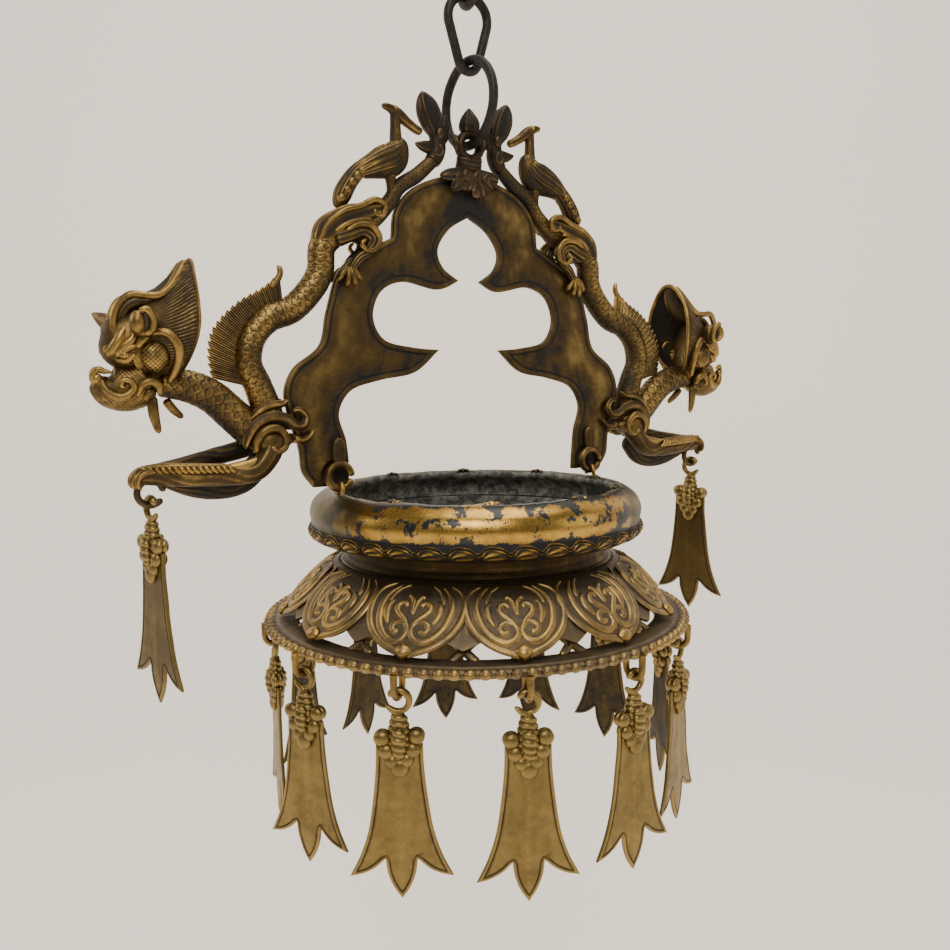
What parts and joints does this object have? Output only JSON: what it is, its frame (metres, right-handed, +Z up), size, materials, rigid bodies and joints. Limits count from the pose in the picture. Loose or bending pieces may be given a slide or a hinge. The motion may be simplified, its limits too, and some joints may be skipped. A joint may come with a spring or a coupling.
{
  "type": "hanging temple lamp",
  "caption": "Cast brass hanging oil lamp: dish on a lotus base with swinging pendants, under an arch with two dragons and two birds, on an iron ring and links.",
  "frame": {"origin": "hanging point: the top of the eye of the upper link, on the inside of its upper bend", "axes": "+Z up along the chain, X along the arch from dragon to dragon, +Y towards the back of the arch plate"},
  "size_m": [0.5508, 0.3433, 0.6726],
  "materials": {
    "aged_brass": "aged cast brass, worn golden on the edges with black patina in the hollows",
    "dark_brass": "dark olive brown patinated brass",
    "black_iron": "blackened forged iron, dull with worn spots"
  },
  "bodies": {
    "upper_link": {"upper_chain_link": "black_iron"},
    "pear_link": {"pear_link": "black_iron"},
    "ring": {"hanging_ring": "black_iron"},
    "arch": {"arch_plate": "aged_brass", "eye_finial": "dark_brass", "scroll_leaf": "dark_brass", "dragon_left": "aged_brass", "dragon_right": "aged_brass", "bird_left": "aged_brass", "bird_right": "aged_brass", "bud_left": "dark_brass", "bud_right": "dark_brass", "paw_ring_left": "dark_brass", "paw_ring_right": "dark_brass", "foot_hook_left": "aged_brass", "foot_hook_right": "aged_brass"},
    "dish": {"dish": "aged_brass", "dish_staple_left": "aged_brass", "dish_staple_right": "aged_brass", "collar": "dark_brass", "lotus_skirt": "aged_brass", "flange": "aged_brass", "pendant_eye_01": "aged_brass", "pendant_eye_02": "aged_brass", "pendant_eye_03": "aged_brass", "pendant_eye_04": "aged_brass", "pendant_eye_05": "aged_brass", "pendant_eye_06": "aged_brass", "pendant_eye_07": "aged_brass", "pendant_eye_08": "aged_brass", "pendant_eye_09": "aged_brass", "pendant_eye_10": "aged_brass", "pendant_eye_11": "aged_brass", "pendant_eye_12": "aged_brass"},
    "pendant_01": {"pendant_01": "dark_brass"},
    "pendant_02": {"pendant_02": "dark_brass"},
    "pendant_03": {"pendant_03": "dark_brass"},
    "pendant_04": {"pendant_04": "dark_brass"},
    "pendant_05": {"pendant_05": "dark_brass"},
    "pendant_06": {"pendant_06": "dark_brass"},
    "pendant_07": {"pendant_07": "dark_brass"},
    "pendant_08": {"pendant_08": "dark_brass"},
    "pendant_09": {"pendant_09": "dark_brass"},
    "pendant_10": {"pendant_10": "dark_brass"},
    "pendant_11": {"pendant_11": "dark_brass"},
    "pendant_12": {"pendant_12": "dark_brass"},
    "paw_pendant_left": {"paw_pendant_left": "dark_brass"},
    "paw_pendant_right": {"paw_pendant_right": "dark_brass"}
  },
  "joints": [
    {"name": "pear_link_swing", "type": "hinge", "parent": "upper_link", "child": "pear_link", "pos_m": [0, 0, -0.0423], "axis": [0, 1, 0], "range_deg": [-25, 25]},
    {"name": "ring_swing", "type": "hinge", "parent": "pear_link", "child": "ring", "pos_m": [0, 0, -0.09055], "axis": [1, 0, 0], "range_deg": [-25, 25]},
    {"name": "arch_swing", "type": "hinge", "parent": "ring", "child": "arch", "pos_m": [0, 0, -0.145], "axis": [-0.1132, 0.9936, 0], "range_deg": [-20, 20]},
    {"name": "dish_swing", "type": "hinge", "parent": "arch", "child": "dish", "pos_m": [0, -0.0028, -0.40355], "axis": [1, 0, 0], "range_deg": [-10, 10]},
    {"name": "pendant_01_swing", "type": "hinge", "parent": "dish", "child": "pendant_01", "pos_m": [0.03354, -0.16057, -0.52305], "axis": [0.9945, 0.1045, 0], "range_deg": [-30, 12]},
    {"name": "pendant_02_swing", "type": "hinge", "parent": "dish", "child": "pendant_02", "pos_m": [0.10793, -0.12267, -0.52305], "axis": [0.8829, 0.4695, 0], "range_deg": [-30, 12]},
    {"name": "pendant_03_swing", "type": "hinge", "parent": "dish", "child": "pendant_03", "pos_m": [0.15341, -0.05264, -0.52305], "axis": [0.3746, 0.9272, 0], "range_deg": [-30, 12]},
    {"name": "pendant_04_swing", "type": "hinge", "parent": "dish", "child": "pendant_04", "pos_m": [0.15777, 0.03074, -0.52305], "axis": [-0.342, 0.9397, 0], "range_deg": [-30, 12]},
    {"name": "pendant_05_swing", "type": "hinge", "parent": "dish", "child": "pendant_05", "pos_m": [0.11987, 0.10513, -0.52305], "axis": [-0.5, 0.866, 0], "range_deg": [-30, 12]},
    {"name": "pendant_06_swing", "type": "hinge", "parent": "dish", "child": "pendant_06", "pos_m": [0.04984, 0.1506, -0.52305], "axis": [-0.9781, 0.2079, 0], "range_deg": [-30, 12]},
    {"name": "pendant_07_swing", "type": "hinge", "parent": "dish", "child": "pendant_07", "pos_m": [-0.03354, 0.15498, -0.52305], "axis": [-0.8988, -0.4384, 0], "range_deg": [-30, 12]},
    {"name": "pendant_08_swing", "type": "hinge", "parent": "dish", "child": "pendant_08", "pos_m": [-0.10793, 0.11707, -0.52305], "axis": [-0.7986, -0.6018, 0], "range_deg": [-30, 12]},
    {"name": "pendant_09_swing", "type": "hinge", "parent": "dish", "child": "pendant_09", "pos_m": [-0.15341, 0.04704, -0.52305], "axis": [-0.1564, -0.9877, 0], "range_deg": [-30, 12]},
    {"name": "pendant_10_swing", "type": "hinge", "parent": "dish", "child": "pendant_10", "pos_m": [-0.15777, -0.03634, -0.52305], "axis": [0.515, -0.8572, 0], "range_deg": [-30, 12]},
    {"name": "pendant_11_swing", "type": "hinge", "parent": "dish", "child": "pendant_11", "pos_m": [-0.11987, -0.11073, -0.52305], "axis": [0.866, -0.5, 0], "range_deg": [-30, 12]},
    {"name": "pendant_12_swing", "type": "hinge", "parent": "dish", "child": "pendant_12", "pos_m": [-0.04984, -0.15621, -0.52305], "axis": [0.9272, -0.3746, 0], "range_deg": [-30, 12]},
    {"name": "paw_pendant_left_swing", "type": "hinge", "parent": "arch", "child": "paw_pendant_left", "pos_m": [-0.247, 0.0042, -0.40115], "axis": [-0.2588, 0.9659, 0], "range_deg": [-20, 20]},
    {"name": "paw_pendant_right_swing", "type": "hinge", "parent": "arch", "child": "paw_pendant_right", "pos_m": [0.23712, 0.0042, -0.40115], "axis": [-0.2588, 0.9659, 0], "range_deg": [-20, 20]}
  ]
}
